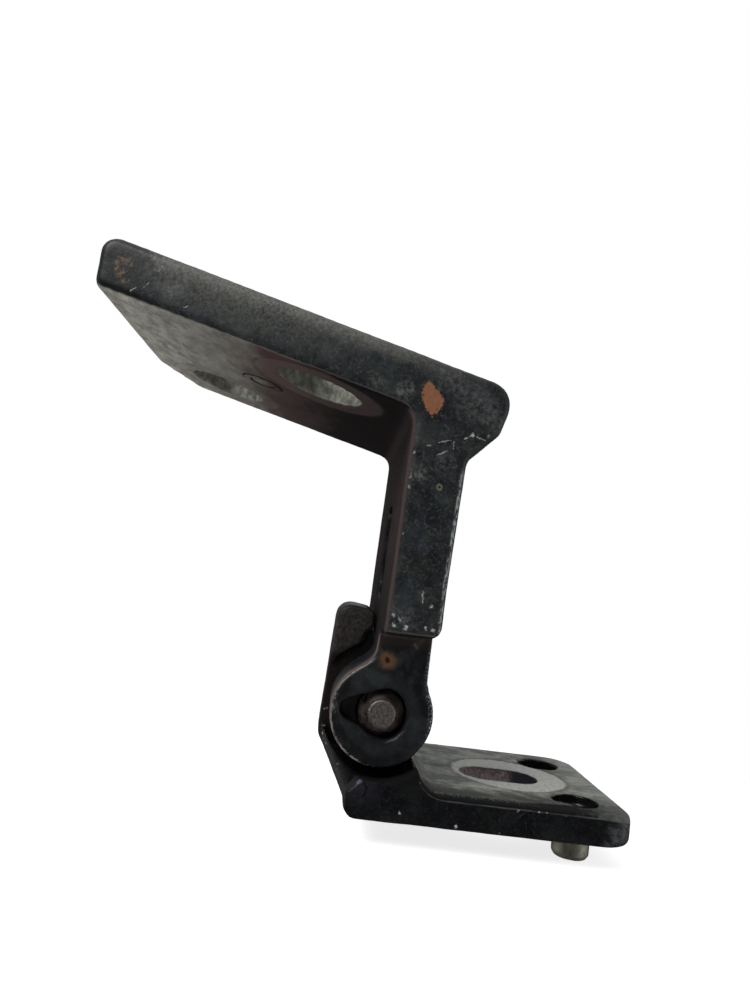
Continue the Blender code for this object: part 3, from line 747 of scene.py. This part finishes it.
def door_paint():
    """Black paint on the door bracket, with bare and stained faces, chips and primer."""
    finish = Finish("worn_black_paint_door", srgb(19, 21, 24), 0.38, specular=0.3)
    weather(finish, 0.8, 0.16, srgb(64, 66, 66))
    wobble = finish.ragged(1.1, 4.0, 0.65, seed=20)
    fine = finish.ragged(0.5, 4.0, 0.75, seed=29)
    stain_plate(finish, wobble)
    stain_arm(finish, wobble)
    stain_lug(finish, wobble)
    wear_edges(finish, BARE_STEEL, 0.56)
    # Painted highlight: pale specks in chip white along the arm's rounded front right edge.
    arm_edge_highlight = finish.both(
        finish.ramp(finish.x, 5.8, 6.6), finish.ramp(finish.z, 31.5, 33.0),
        finish.ramp(finish.z, 60.0, 57.0),
        finish.ramp(finish.y, DOOR_FRONT_Y + 1.6, DOOR_FRONT_Y + 1.2),
        finish.facing((0.6, -0.8, 0.0), 0.94, 0.99),
        finish.ramp(finish.noise(0.45, 4.0, 0.75, (1.0, 1.0, 2.5), seed=54), 0.46, 0.58)
    )
    finish.layer(arm_edge_highlight, WHITE_CHIP_AND_HIGHLIGHT, 0.5, amount=0.8)

    face = DOOR_FRONT_Y
    blotchy = finish.ramp(finish.noise(0.9, 5.0, 0.75, seed=47), 0.40, 0.62)
    broken = finish.ramp(finish.noise(0.5, 3.0, 0.7, seed=48), 0.36, 0.56)
    for x, z, radius, strength in FRONT_SMUDGES:
        pale = finish.both(finish.spot((x, face, z), radius * 1.3, 3.0, wobble, 0.9), blotchy)
        finish.layer(pale, srgb(122, 122, 120), 0.6, amount=strength)
    patch = finish.flake(PRIMER_PATCH, face, 2.4, fine)
    tone = finish.mix(finish.noise(1.0, 3.0, 0.6, seed=44), srgb(98, 62, 42), srgb(138, 90, 62))
    finish.layer(patch, tone, 0.7, relief=-0.05)
    crumbs = finish.both(patch, finish.ramp(finish.noise(0.7, 4.0, 0.75, seed=49), 0.58, 0.66))
    finish.layer(crumbs, srgb(58, 44, 34), 0.7, amount=0.6)
    smear = finish.either(
        finish.stroke((-52.0, face, 85.4), (-50.2, face, 85.5), 1.7, 2.4, wobble),
        finish.spot((-51.5, face, 83.9), 0.9, 2.2, wobble),
        finish.stroke((-51.4, face, 82.5), (-50.0, face, 82.4), 1.3, 2.4, wobble),
    )
    finish.layer(finish.both(smear, blotchy), srgb(116, 92, 68), 0.7, amount=0.8)
    olive = finish.spot((3.9, face, 55.9), 0.66, 0.7, fine)
    core = finish.spot((3.9, face, 55.9), 0.26, 0.3, fine)
    finish.layer(
        finish.math("SUBTRACT", olive, core, clamp=True), srgb(98, 100, 76), 0.6, amount=0.7
    )
    for start, end, width, strength in FRONT_STROKES:
        mark = finish.stroke(
            (start[0], face, start[1]), (end[0], face, end[1]), width * 0.8, 0.9, fine
        )
        mark = finish.both(mark, finish.shifted(0.25, broken, 0.75))
        finish.layer(mark, WHITE_CHIP_AND_HIGHLIGHT, 0.55, relief=-0.02, amount=strength)
    for x, z, radius, strength in FRONT_SPOTS:
        mark = finish.spot((x, face, z), radius * 0.85, 1.9, fine, 0.7)
        finish.layer(mark, WHITE_CHIP_AND_HIGHLIGHT, 0.55, relief=-0.03, amount=strength)
    return finish.close()


# Chips on the body bracket's front face: x, z, radius
BODY_CHIPS = (
    (-8.4, 10.9, 0.30),
    (-9.4, 12.1, 0.22),
    (4.9, 2.1, 0.26),
    (14.6, 0.9, 0.36),
    (24.9, 4.7, 0.22),
    (28.4, 5.0, 0.30),
    (29.7, 4.9, 0.24),
    (33.0, 4.8, 0.20),
    (22.1, 0.7, 0.18),
    (-2.0, 7.1, 0.30),
    (7.9, 7.4, 0.24),
)
# Cracks in the paint of the block's front face, as runs of (x, z)
BODY_CRACKS = (
    ((-2.9, 8.0), (-3.2, 7.1), (-2.7, 6.5), (-3.1, 5.6)),
    ((-1.3, 7.4), (-1.6, 6.3), (-1.0, 5.4), (-1.3, 4.2), (-0.8, 3.4)),
    ((0.8, 6.2), (2.2, 6.9), (3.8, 7.9)),
)
# Scuffs on the base's front right corner: start, end (x, z)
BODY_SCUFFS = (((40.6, 3.4), (42.3, 2.2)), ((41.2, 1.9), (43.4, 3.1)), ((40.2, 0.6), (43.0, 0.9)))
# Where the front's black paint ends on the base's top; past SLANT_X it widens to the right
PAINT_EDGE_Y = -18.0
SLANT_X = 27.0
SLANT = 0.26


def stain_base(finish, wobble):
    """The base's top: bare and stained, with a bright seat round the bolt slot."""
    top = finish.both(
        finish.facing((0.5, 0.0, 0.87), 0.45, 0.7), finish.ramp(finish.x, 6.6, 7.2),
        finish.ramp(finish.z, 13.0, 11.0)
    )
    streaks = finish.noise(1.6, 6.0, 0.75, (2.0, 1.2, 1.0), seed=31)
    stain = finish.noise(5.0, 6.0, 0.72, (1.5, 1.0, 1.0), seed=32)
    bare = finish.blend(streaks, 0.32, 0.7, srgb(118, 121, 113), srgb(174, 174, 166))
    stained = finish.math("MULTIPLY", finish.ramp(stain, 0.44, 0.58), 0.9)
    finish.layer(top, finish.mix(stained, bare, srgb(62, 67, 57)), 0.46, 0.15)
    ragged_x = finish.shifted(finish.x, wobble, 3.0)
    grime = finish.ramp(finish.noise(1.2, 4.0, 0.7, (1.0, 3.0, 1.0), seed=51), 0.4, 0.6)
    grimy = finish.both(top, finish.ramp(ragged_x, 14.0, 11.0), grime)
    finish.layer(grimy, srgb(58, 58, 50), 0.5, amount=0.7)
    # Tan streaks on the fillet at the block's foot, lightened as a painted highlight where the
    # fillet catches the light.
    fillet_tan_and_highlight = finish.both(top, finish.ramp(ragged_x, 9.2, 8.0), finish.ramp(streaks, 0.3, 0.6))
    finish.layer(fillet_tan_and_highlight, srgb(160, 150, 130), 0.45, amount=0.9)
    blot = finish.spot((14.0, 1.8, BASE_TOP_Z), 3.0, 5.0, wobble, 0.8)
    finish.layer(finish.both(blot, top), srgb(48, 47, 43), 0.5, amount=0.7)
    ragged_y = finish.shifted(finish.y, wobble, 3.0)
    past_middle = finish.math("MAXIMUM", finish.math("SUBTRACT", finish.x, SLANT_X), 0.0)
    from_front = finish.math("SUBTRACT", ragged_y, finish.math("MULTIPLY", past_middle, SLANT))
    fore = finish.both(top, finish.ramp(from_front, PAINT_EDGE_Y + 7.0, PAINT_EDGE_Y + 0.5))
    finish.layer(fore, srgb(58, 58, 54), 0.85, 0.0, amount=0.8)
    speckle = finish.both(
        top, finish.ramp(finish.noise(0.5, 4.0, 0.75, seed=57), 0.42, 0.66),
        finish.ramp(finish.x, 28.0, 36.0)
    )
    finish.layer(speckle, srgb(78, 74, 68), 0.5, amount=0.45)
    painted = finish.both(top, finish.ramp(from_front, PAINT_EDGE_Y, PAINT_EDGE_Y - 0.9))
    finish.layer(painted, srgb(6, 6, 8), 0.95, 0.0)
    far = finish.ramp(finish.shifted(finish.x, wobble, 12.0), 35.0, 46.0)
    finish.layer(finish.both(top, far), srgb(178, 180, 172), 0.5, amount=0.28)
    reach = finish.off_axis(WASHER_CENTRE, UP)
    ragged = finish.shifted(reach, wobble, 1.6)
    flat_top = finish.facing(UP, 0.6, 0.9)
    ring = finish.both(flat_top, finish.ramp(ragged, SLOT_WASHER_RADIUS, SLOT_WASHER_RADIUS - 0.8))
    swirl = finish.noise(0.7, 4.0, 0.7, seed=33)
    finish.layer(
        ring, finish.blend(swirl, 0.3, 0.7, srgb(168, 166, 163), srgb(212, 210, 206)), 0.5, 0.2
    )
    lip = finish.both(
        flat_top, finish.ramp(ragged, SLOT_WASHER_RADIUS + 1.2, SLOT_WASHER_RADIUS),
        finish.ramp(ragged, SLOT_WASHER_RADIUS - 0.4, SLOT_WASHER_RADIUS)
    )
    finish.layer(lip, srgb(56, 57, 52), 0.55, amount=0.5)
    inside_slot = finish.both(
        finish.ramp(
            finish.math("ABSOLUTE", finish.y), SLOT_HALF_WIDTH + 0.85, SLOT_HALF_WIDTH + 0.45
        ),
        finish.ramp(finish.off(finish.x, SLOT_X), SLOT_HALF_LENGTH + 0.8, SLOT_HALF_LENGTH + 0.4),
        finish.facing(UP, 0.7, 0.3)
    )
    pitted = finish.noise(0.5, 4.0, 0.7, seed=34)
    finish.layer(
        inside_slot, finish.blend(pitted, 0.3, 0.7, srgb(84, 75, 77), srgb(138, 124, 126)), 0.6
    )
    finish.layer(finish.both(inside_slot, finish.ramp(finish.x, 28.4, 30.4)), srgb(44, 41, 50), 0.5)


def stain_finger(finish):
    """The stop finger's grainy side and the brown shadow under its head."""
    side = finish.both(
        finish.ramp(finish.z, PIN_Z + 7.0, PIN_Z + 8.5),
        finish.ramp(finish.math("ABSOLUTE", finish.y), 7.2, 7.7)
    )
    fibres = finish.ramp(finish.noise(0.45, 4.0, 0.75, (1.0, 1.0, 1.5), 20.0, seed=35), 0.3, 0.72)
    finish.layer(side, finish.mix(fibres, srgb(24, 22, 21), srgb(58, 53, 49)), 0.5)
    crown = finish.both(
        finish.ramp(finish.z, PIN_Z + 16.0, PIN_Z + 17.0), finish.facing(UP, 0.2, 0.6)
    )
    finish.layer(crown, srgb(40, 36, 31), 0.45, amount=0.45)
    recess = finish.both(
        finish.ramp(finish.x, -4.0, -7.0), finish.ramp(finish.z, PIN_Z + 9.5, PIN_Z + 6.0),
        finish.ramp(finish.z, PIN_Z - 9.0, PIN_Z - 2.0), finish.facing(TO_FRONT, 0.4, 0.8)
    )
    finish.layer(recess, srgb(30, 18, 14), 0.5, amount=0.7)


def body_paint():
    """Glossier black on the body bracket, with a bare, stained base top."""
    finish = Finish("worn_black_paint_body", srgb(6, 6, 9), 0.30, specular=0.25)
    weather(finish, 0.16, 0.06, srgb(48, 50, 52))
    wobble = finish.ragged(1.1, 4.0, 0.65, seed=30)
    fine = finish.ragged(0.5, 4.0, 0.75, seed=39)
    mottled = finish.both(
        finish.ramp(finish.noise(0.6, 4.0, 0.75, seed=55), 0.56, 0.72),
        finish.ramp(finish.noise(4.0, 2.0, 0.5, seed=56), 0.42, 0.6)
    )
    finish.layer(mottled, srgb(46, 47, 50), 0.45, amount=0.6)
    stain_base(finish, wobble)
    stain_finger(finish)
    sheen = finish.spot((-1.6, BODY_FRONT_Y, 5.8), 4.6, 3.0, wobble, 0.9)
    finish.layer(sheen, srgb(46, 46, 58), 0.45, amount=0.28)
    glint = finish.stroke((-5.0, BODY_FRONT_Y, 5.8), (-2.6, BODY_FRONT_Y, 6.7), 1.9, 1.2, wobble)
    streaky = finish.ramp(finish.noise(0.4, 3.0, 0.7, (2.0, 1.0, 0.8), 20.0, seed=50), 0.38, 0.6)
    finish.layer(finish.both(glint, streaky), srgb(150, 152, 184), 0.35, amount=0.6)
    for run in BODY_CRACKS:
        for start, end in zip(run, run[1:]):
            crack = finish.stroke(
                (start[0], BODY_FRONT_Y, start[1]), (end[0], BODY_FRONT_Y, end[1]), 0.52, 0.6, fine
            )
            finish.layer(crack, srgb(2, 2, 3), 0.7, relief=-0.12)
    rubbed = finish.either(finish.ramp(finish.x, 9.0, 11.0), finish.ramp(finish.z, 12.0, 14.0))
    wear_edges(finish, BARE_STEEL, 0.66, 0.7, rubbed)
    crest = finish.both(
        finish.ramp(finish.x, -3.0, -1.0), finish.ramp(finish.x, 9.0, 7.5),
        finish.ramp(finish.z, 5.5, 7.0),
        finish.ramp(finish.y, BODY_FRONT_Y + 3.5, BODY_FRONT_Y + 2.5)
    )
    finish.layer(crest, srgb(6, 6, 8), 0.85)
    flank = finish.both(
        finish.ramp(finish.x, -5.5, -6.5), finish.ramp(finish.z, 5.0, 6.5),
        finish.ramp(finish.z, 16.0, 14.0), finish.ramp(finish.y, -1.0, -4.0),
        finish.either(finish.dots(0.9, 0.22, 0.5, 5), finish.dots(1.6, 0.34, 0.4, 6))
    )
    finish.layer(flank, WHITE_CHIP_AND_HIGHLIGHT, 0.5, amount=0.85)
    # Painted highlight: a faint pale streak down the base's rounded front right corner.
    corner = finish.both(
        finish.facing((0.75, -0.66, 0.0), 0.93, 0.99), finish.ramp(finish.z, 4.6, 4.0),
        finish.ramp(finish.z, -2.0, 0.8), finish.ramp(finish.x, 40.0, 42.0),
        finish.ramp(finish.noise(0.9, 3.0, 0.6, seed=53), 0.36, 0.56)
    )
    finish.layer(corner, srgb(150, 152, 160), 0.45, amount=0.12)
    ragged_y = finish.shifted(finish.y, wobble, 3.0)
    edge_line = finish.both(
        finish.facing(UP, 0.6, 0.8), finish.ramp(finish.z, 3.7, 4.1),
        finish.ramp(finish.noise(0.2, 3.0, 0.7, (2.0, 1.0, 1.0), seed=36), 0.56, 0.63),
        finish.ramp(ragged_y, PAINT_EDGE_Y - 0.1, PAINT_EDGE_Y - 0.4),
        finish.ramp(ragged_y, PAINT_EDGE_Y - 1.6, PAINT_EDGE_Y - 1.3),
        finish.ramp(finish.x, 9.5, 10.5), finish.ramp(finish.x, 32.0, 20.0)
    )
    finish.layer(edge_line, WHITE_CHIP_AND_HIGHLIGHT, 0.5)
    for x, z, radius in BODY_CHIPS:
        mark = finish.spot((x, BODY_FRONT_Y + 0.1, z), radius, 1.5, fine, 0.7)
        finish.layer(mark, WHITE_CHIP_AND_HIGHLIGHT, 0.5)
    for start, end in BODY_SCUFFS:
        scuff = finish.stroke(
            (start[0], BODY_FRONT_Y + 0.4, start[1]), (end[0], BODY_FRONT_Y + 0.6, end[1]), 1.9,
            3.2, wobble
        )
        finish.layer(finish.both(scuff, streaky), srgb(112, 114, 122), 0.6, amount=0.14)
    return finish.close()


def bare_metal(name, colour, stain, stain_amount, roughness):
    """Bare metal with stains and fine scratches."""
    finish = Finish(name, colour, roughness, 1.0)
    blotches = finish.noise(1.4, 4.0, 0.65, seed=40)
    finish.layer(finish.ramp(blotches, 0.35, 0.7), stain, 0.6, 0.5, amount=stain_amount)
    fine = finish.noise(0.18, 2.0, 0.6, seed=41)
    finish.layer(finish.ramp(fine, 0.5, 0.75), srgb(188, 184, 178), 0.3, amount=0.5)
    finish.layer(fine, relief=0.010)
    pits = finish.dots(0.7, 0.10, 0.35, seed=4)
    finish.layer(pits, srgb(40, 34, 30), 0.7, 0.4, relief=-0.03)
    return finish


def pin_steel():
    """Pin: pinkish-brown tarnish on its sides and a lighter, battered end."""
    finish = bare_metal("pin_steel", srgb(124, 108, 106), srgb(78, 63, 61), 0.8, 0.42)
    end = finish.ramp(finish.y, LUG_FRONT_Y + 0.6, LUG_FRONT_Y + 0.3)
    battered = finish.noise(0.45, 4.0, 0.7, seed=42)
    finish.layer(
        end, finish.blend(battered, 0.3, 0.7, srgb(92, 86, 83), srgb(158, 152, 148)), 0.42, 0.9
    )
    finish.layer(end, relief=finish.math("MULTIPLY", battered, 0.10))
    return finish.close()


def dress(piece, material, body, node):
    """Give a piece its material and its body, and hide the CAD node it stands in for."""
    piece.data.materials.append(material)
    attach(piece, body)
    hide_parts(node)


# ---------------------------------------------------------------- stage


def make_camera():
    """The product view's camera."""
    camera = bpy.data.objects.new("camera", bpy.data.cameras.new("camera"))
    camera.data.lens = CAMERA_LENS
    camera.data.clip_start = CAMERA_NEAR
    camera.location = CAMERA_PLACE
    camera.rotation_euler = [math.radians(angle) for angle in CAMERA_TURN]
    bpy.context.scene.collection.objects.link(camera)
    bpy.context.scene.camera = camera


# The floor's grey, the light it adds, where it fades to plain white, and its gap under the hinge
FLOOR_GREY = 0.86
FLOOR_LIFT = 0.78
FLOOR_FADE = (0.03, 0.15)
FLOOR_GAP = 0.1 * MM
FLOOR_RADIUS = 2.0
BACKDROP_RADIUS = 2.5


def empty_material(name):
    """A material with nothing in it yet, and its node tree."""
    material = bpy.data.materials.new(name)
    material.use_nodes = True
    material.node_tree.nodes.clear()
    return material, material.node_tree


def glow(tree, strength):
    """White light given off evenly."""
    return add_node(
        tree, "Emission", {"Color": (1.0, 1.0, 1.0, 1.0), "Strength": strength}
    ).outputs[0]


def backdrop_material():
    """Plain glowing white."""
    material, tree = empty_material("white_backdrop")
    add_node(tree, "OutputMaterial", {0: glow(tree, 1.0)})
    return material


def floor_material():
    """Pale matt floor that fades to plain white away from the hinge."""
    material, tree = empty_material("pale_floor")
    matt = add_node(tree, "BsdfDiffuse", {"Color": (FLOOR_GREY, FLOOR_GREY, FLOOR_GREY, 1.0)})
    lifted = add_node(tree, "AddShader", {0: matt.outputs[0], 1: glow(tree, FLOOR_LIFT)})
    place = add_node(tree, "TexCoord").outputs["Object"]
    distance = add_node(tree, "VectorMath", {0: place}, operation="LENGTH").outputs["Value"]
    fade = add_node(
        tree, "MapRange", {0: distance, 1: FLOOR_FADE[0], 2: FLOOR_FADE[1]},
        interpolation_type="SMOOTHSTEP"
    )
    blend = add_node(
        tree, "MixShader", {0: fade.outputs[0], 1: lifted.outputs[0], 2: glow(tree, 1.0)}
    )
    add_node(tree, "OutputMaterial", {0: blend.outputs[0]})
    return material


def make_stage():
    """A pale floor under the hinge and a white backdrop all round it, kept out of the light."""
    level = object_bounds()[0].z - FLOOR_GAP
    bpy.ops.mesh.primitive_circle_add(
        vertices=96, radius=FLOOR_RADIUS, fill_type="NGON", location=(0.0, 0.0, level)
    )
    floor = bpy.context.active_object
    floor.name = "floor"
    floor.data.materials.append(floor_material())
    floor.visible_glossy = False
    bpy.ops.mesh.primitive_uv_sphere_add(segments=48, ring_count=24, radius=BACKDROP_RADIUS)
    backdrop = bpy.context.active_object
    backdrop.name = "backdrop"
    backdrop.data.materials.append(backdrop_material())
    backdrop.visible_diffuse = False
    backdrop.visible_glossy = False
    backdrop.visible_transmission = False
    backdrop.visible_shadow = False


# The key lamp: metres and watts
KEY_PLACE = (-0.26, -0.30, 0.36)
KEY_TARGET = (-0.02, 0.0, 0.07)
KEY_SIZE = 0.22
KEY_POWER = 1.45

# The studio's even light, and its glows: direction, tightness, strength, colour
SKY_AMBIENT = 0.06
SKY_LOBES = (
    ((0.0, 0.25, 1.0), 3.0, 0.75, (0.97, 1.0, 1.0)),
    ((0.24, 0.93, 0.32), 24.0, 0.6, (0.98, 1.0, 0.97)),
    ((-1.0, 0.3, -0.05), 5.0, 0.45, (1.0, 0.97, 0.94)),
    ((1.0, -0.1, 0.1), 14.0, 1.3, (0.97, 0.98, 1.0)),
    ((0.8, -0.5, -0.4), 10.0, 0.4, (1.0, 1.0, 0.96)),
)


def make_sky():
    """Soft studio light as a few broad glows around the hinge."""
    world = bpy.data.worlds.new("studio")
    bpy.context.scene.world = world
    world.use_nodes = True
    tree = world.node_tree
    view = add_node(tree, "TexCoord").outputs["Generated"]
    glows = []
    for direction, tightness, strength, colour in SKY_LOBES:
        aim = Vector(direction).normalized()
        toward = add_node(
            tree, "VectorMath", {0: view, 1: aim}, operation="DOT_PRODUCT"
        ).outputs["Value"]
        facing = add_node(tree, "Math", {0: toward, 1: 0.0}, operation="MAXIMUM").outputs[0]
        lobe = add_node(tree, "Math", {0: facing, 1: tightness}, operation="POWER").outputs[0]
        tint = {0: [strength * channel for channel in colour], "Scale": lobe}
        glows.append(add_node(tree, "VectorMath", tint, operation="SCALE").outputs[0])
    total = glows[0]
    for item in glows[1:] + [(SKY_AMBIENT,) * 3]:
        total = add_node(tree, "VectorMath", {0: total, 1: item}).outputs[0]
    feed(tree, tree.nodes["Background"].inputs["Color"], total)


def make_lights():
    """A soft square key lamp from the upper left and the glow of the studio."""
    lamp = bpy.data.lights.new("key", "AREA")
    lamp.size = KEY_SIZE
    lamp.energy = KEY_POWER
    item = bpy.data.objects.new("key", lamp)
    item.location = KEY_PLACE
    item.rotation_euler = (
        Vector(KEY_TARGET) - Vector(KEY_PLACE)
    ).to_track_quat("-Z", "Y").to_euler()
    bpy.context.scene.collection.objects.link(item)
    make_sky()


# ---------------------------------------------------------------- build

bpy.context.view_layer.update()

make_camera()
bpy.context.scene.view_settings.view_transform = "Standard"
make_stage()
make_lights()

door = make_door_skin()
body = make_body_skin()
pin = make_small_skin("hinge_pin", "hinge_pin_worn", voxel=0.20, wave=0.02, pits=0.012, seed=21)
bush_front = make_small_skin(
    "bush_front", "bush_front_worn", voxel=0.20, wave=0.01, pits=0.008, seed=23
)
bush_rear = make_small_skin(
    "bush_rear", "bush_rear_worn", voxel=0.20, wave=0.01, pits=0.008, seed=25
)
dowel = make_small_skin(
    "locating_dowel", "locating_dowel_worn", voxel=0.18, wave=0.015, pits=0.01, seed=27
)

dress(door, door_paint(), "door_side", "door_bracket")
dress(body, body_paint(), "body_side", "body_bracket")
dress(pin, pin_steel(), "door_side", "hinge_pin")
bronze = bare_metal("bush_bronze", srgb(150, 112, 66), srgb(84, 58, 34), 0.7, 0.4).close()
dress(bush_front, bronze, "body_side", "bush_front")
dress(bush_rear, bronze, "body_side", "bush_rear")
dowel_finish = bare_metal("dowel_steel", srgb(160, 158, 143), srgb(70, 70, 57), 0.65, 0.28).close()
dress(dowel, dowel_finish, "body_side", "locating_dowel")
